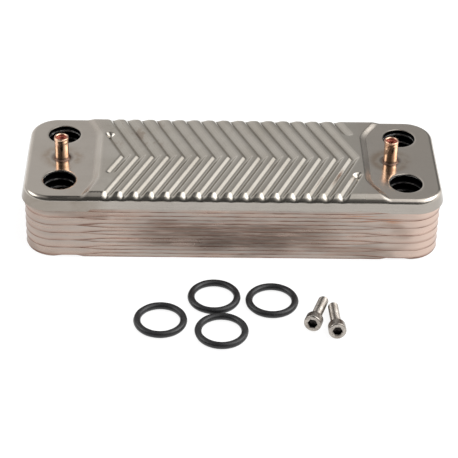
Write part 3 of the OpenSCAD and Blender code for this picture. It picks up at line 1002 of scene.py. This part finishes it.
def make_cover():
    """The cover plate, and what copper_bead needs to know of its rim."""
    low = rim_z(0)
    mesh, rim = pressed_plate(
        "pressed_cover_plate",
        COVER_HALF_L,
        COVER_HALF_W,
        low,
        face=PAD_TOP,
        shoulder=cover_shoulder,
        thickness=COVER_SHEET,
        height=cover_height,
        lip=cover_lip,
        spacing=0.4,
        seed=1,
        open_ports=True,
    )
    add_piece(mesh.name, mesh, BLOCK, cover_steel, "cover_steel", plate_name(0))
    return rim


def make_inner_plate(i):
    """Channel plate i or the back plate, and what copper_bead needs to know of its rim."""
    low = rim_z(i)

    def height(x, y):
        return channel_height(x, y, i % 2 == 1)

    def lip(x, y):
        return back_lip(x, y) if i == LAST else channel_lip(x, y, i)

    mesh, rim = pressed_plate(
        f"pressed_{plate_name(i)}",
        CHANNEL_HALF_L,
        CHANNEL_HALF_W,
        low,
        face=low + RIM_DROP + SHEET / 2,
        shoulder=channel_shoulder,
        thickness=SHEET,
        height=height,
        lip=lip,
        spacing=0.6 if i == LAST else 1.1,
        seed=i + 1,
        open_ports=i < LAST,
    )
    add_piece(mesh.name, mesh, BLOCK, channel_steel, "channel_steel", plate_name(i))
    return rim


def make_plates():
    """Every plate, with the copper bead under its lower edge."""
    for i in range(PLATES):
        rim = make_cover() if i == 0 else make_inner_plate(i)
        if i < LAST:
            bead = copper_bead(f"copper_bead_{i + 1:02d}", rim, rim_z(i), 100 + i)
            add_piece(bead.name, bead, BLOCK, braze_copper, "braze_copper", sharp=80)


def make_sleeves():
    """The two threaded sleeves, the right one slightly bent at its mouth, each in its solder."""
    for name, flare, dent, seed in (("left_sleeve", 0.0, 0.0, 5), ("right_sleeve", 0.035, 0.35, 6)):
        x, y = sleeve_axis(name)
        put = Matrix.Translation(Vector((x, y, PAD_TOP)) * MM)
        mesh = move_mesh(sleeve_mesh(f"threaded_{name}", flare, dent), put)
        add_piece(mesh.name, mesh, BLOCK, sleeve_copper, "sleeve_copper", name)
        mesh = move_mesh(fillet_mesh(f"solder_{name}", seed), put)
        add_piece(mesh.name, mesh, BLOCK, braze_copper, "braze_copper", f"{name}_fillet")


def make_loose_pieces():
    """The four seals and the two screws, each on its own body."""
    for i in range(4):
        node = f"o_ring_{i + 1}"
        mesh = o_ring_mesh(f"moulded_{node}", node, 20 + i)
        add_piece(mesh.name, mesh, node, seal_rubber, "seal_rubber", node, sharp=80)
    for i, place in enumerate(SCREW_PLACES):
        node = f"cap_screw_{i + 1}"
        mesh = move_mesh(screw_mesh(f"threaded_{node}"), screw_matrix(place))
        add_piece(mesh.name, mesh, node, screw_steel, "screw_steel", node, sharp=32)


def keep_cad(prefix, material):
    """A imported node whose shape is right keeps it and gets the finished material."""
    for name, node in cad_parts.items():
        if name.startswith(prefix):
            node.data.materials.clear()
            node.data.materials.append(material)


# ---------- Camera and room ----------


CAMERA_AIM = (-2.557, -62.059, 35.0)
CAMERA_DISTANCE = 844.3
CAMERA_AZIMUTH = -1.49
CAMERA_ELEVATION = 35.06
CAMERA_ROLL = 1.438
CAMERA_LENS = 139.18


def make_camera():
    """A long lens from the front, a third of the way up, slightly turned and rolled."""
    azimuth = math.radians(CAMERA_AZIMUTH)
    elevation = math.radians(CAMERA_ELEVATION)
    roll = math.radians(CAMERA_ROLL)
    back_x = math.sin(azimuth) * math.cos(elevation)
    back_y = -math.cos(azimuth) * math.cos(elevation)
    back = Vector((back_x, back_y, math.sin(elevation)))
    level = Vector((0, 0, 1)).cross(back).normalized()
    up = back.cross(level)
    right = math.cos(roll) * level + math.sin(roll) * up
    up = -math.sin(roll) * level + math.cos(roll) * up
    data = bpy.data.cameras.new("camera")
    data.lens = CAMERA_LENS
    data.sensor_width = 36
    data.clip_start, data.clip_end = 0.01, 50
    camera = bpy.data.objects.new("camera", data)
    turn = Matrix((right, up, back)).transposed().to_4x4()
    place = (Vector(CAMERA_AIM) + back * CAMERA_DISTANCE) * MM
    camera.matrix_world = Matrix.Translation(place) @ turn
    bpy.context.scene.collection.objects.link(camera)
    bpy.context.scene.camera = camera


def area_light(name, place, aim, width, height, power):
    """A soft box that the camera doesn't see."""
    data = bpy.data.lights.new(name, "AREA")
    data.shape = "RECTANGLE"
    data.size, data.size_y, data.energy = width, height, power
    light = bpy.data.objects.new(name, data)
    light.location = place
    light.rotation_euler = (Vector(aim) - Vector(place)).to_track_quat("-Z", "Y").to_euler()
    light.visible_camera = False
    bpy.context.scene.collection.objects.link(light)


# Brightness of the surround against the angle from +Y towards +X, in degrees
LOW_BELT = ((-180, 0.05), (-115, 0.15), (-90, 0.5), (-62, 0.68), (-33, 1.0), (-10, 0.8))
LOW_BELT += ((5, 0.6), (18, 0.25), (44, 0.22), (53, 1.3), (60, 1.6), (76, 1.6), (95, 1.1))
LOW_BELT += ((130, 0.3), (180, 0.05))
MIDDLE_BELT = ((-180, 0.08), (-125, 0.15), (-100, 1.6), (-75, 1.4), (-50, 0.7), (-20, 0.75))
MIDDLE_BELT += ((-5, 0.75), (2, 0.6), (9, 0.44), (14, 0.62), (19, 0.55), (29, 0.38), (50, 0.5))
MIDDLE_BELT += ((70, 1.6), (85, 2.4), (120, 2.2), (150, 0.5), (180, 0.08))
# Brightness overhead, against the X part of the direction
TOP_BELT = ((-1, 0.8), (-0.4, 0.5), (-0.1, 0.06), (0.04, 0.06), (0.12, 1.5), (0.4, 2.0), (1, 2.0))
WHITE = (1, 1, 1, 1)


def make_room():
    """A pale floor, two soft boxes and the surround."""
    material, n = new_material("pale_floor")
    tone = n.noise(n.place(), 3, 2, 0.5)
    color = n.mix(n.remap(tone, 0.3, 0.7), (0.24, 0.24, 0.24), (0.26, 0.26, 0.26))
    n.surface(color, 0.9, emission_color=WHITE, emission_strength=0.88, specular_ior_level=0.0)
    half = 6.0
    mesh = bpy.data.meshes.new("floor")
    corners = [(-half, -half, 0), (half, -half, 0), (half, half, 0), (-half, half, 0)]
    mesh.from_pydata(corners, [], [(0, 1, 2, 3)])
    mesh.materials.append(material)
    floor = bpy.data.objects.new("floor", mesh)
    floor.location.z = -0.00005
    bpy.context.scene.collection.objects.link(floor)
    area_light("right_soft_box", (0.85, 0.05, 0.80), (0, 0, 0), 0.9, 0.7, 4.2)
    area_light("left_soft_box", (-1.10, 0.05, 0.72), (0, 0, 0), 0.7, 0.6, 2.6)
    make_surround()


def make_surround():
    """A soft surround that is dark on the camera's side, in three belts of height.
    The camera itself sees plain white."""
    world = bpy.data.worlds.new("surround")
    bpy.context.scene.world = world
    world.use_nodes = True
    n = Nodes(world.node_tree)
    x, y, z = n.axes(n.add("ShaderNodeTexCoord").outputs["Generated"])
    azimuth = n.times(n.math("ARCTAN2", x, y), 180 / math.pi)
    low = n.levels(azimuth, -180, 180, LOW_BELT)
    middle = n.levels(azimuth, -180, 180, MIDDLE_BELT)
    top = n.levels(x, -1, 1, TOP_BELT)
    light = n.blend(n.remap(z, 0.38, 0.54), low, middle)
    light = n.blend(n.remap(z, 0.74, 0.88), light, top)
    background = n.add("ShaderNodeBackground", {"Color": WHITE, "Strength": light})
    seen = n.add("ShaderNodeBackground", {"Color": WHITE, "Strength": 1.0})
    camera_ray = n.add("ShaderNodeLightPath").outputs["Is Camera Ray"]
    choose = {0: camera_ray, 1: background.outputs[0], 2: seen.outputs[0]}
    choose = n.add("ShaderNodeMixShader", choose)
    n.add("ShaderNodeOutputWorld", {"Surface": choose.outputs[0]})


make_camera()
make_room()
make_plates()
keep_cad("braze_joint", braze_copper)
make_sleeves()
make_loose_pieces()

bpy.context.scene.view_settings.view_transform = "Standard"
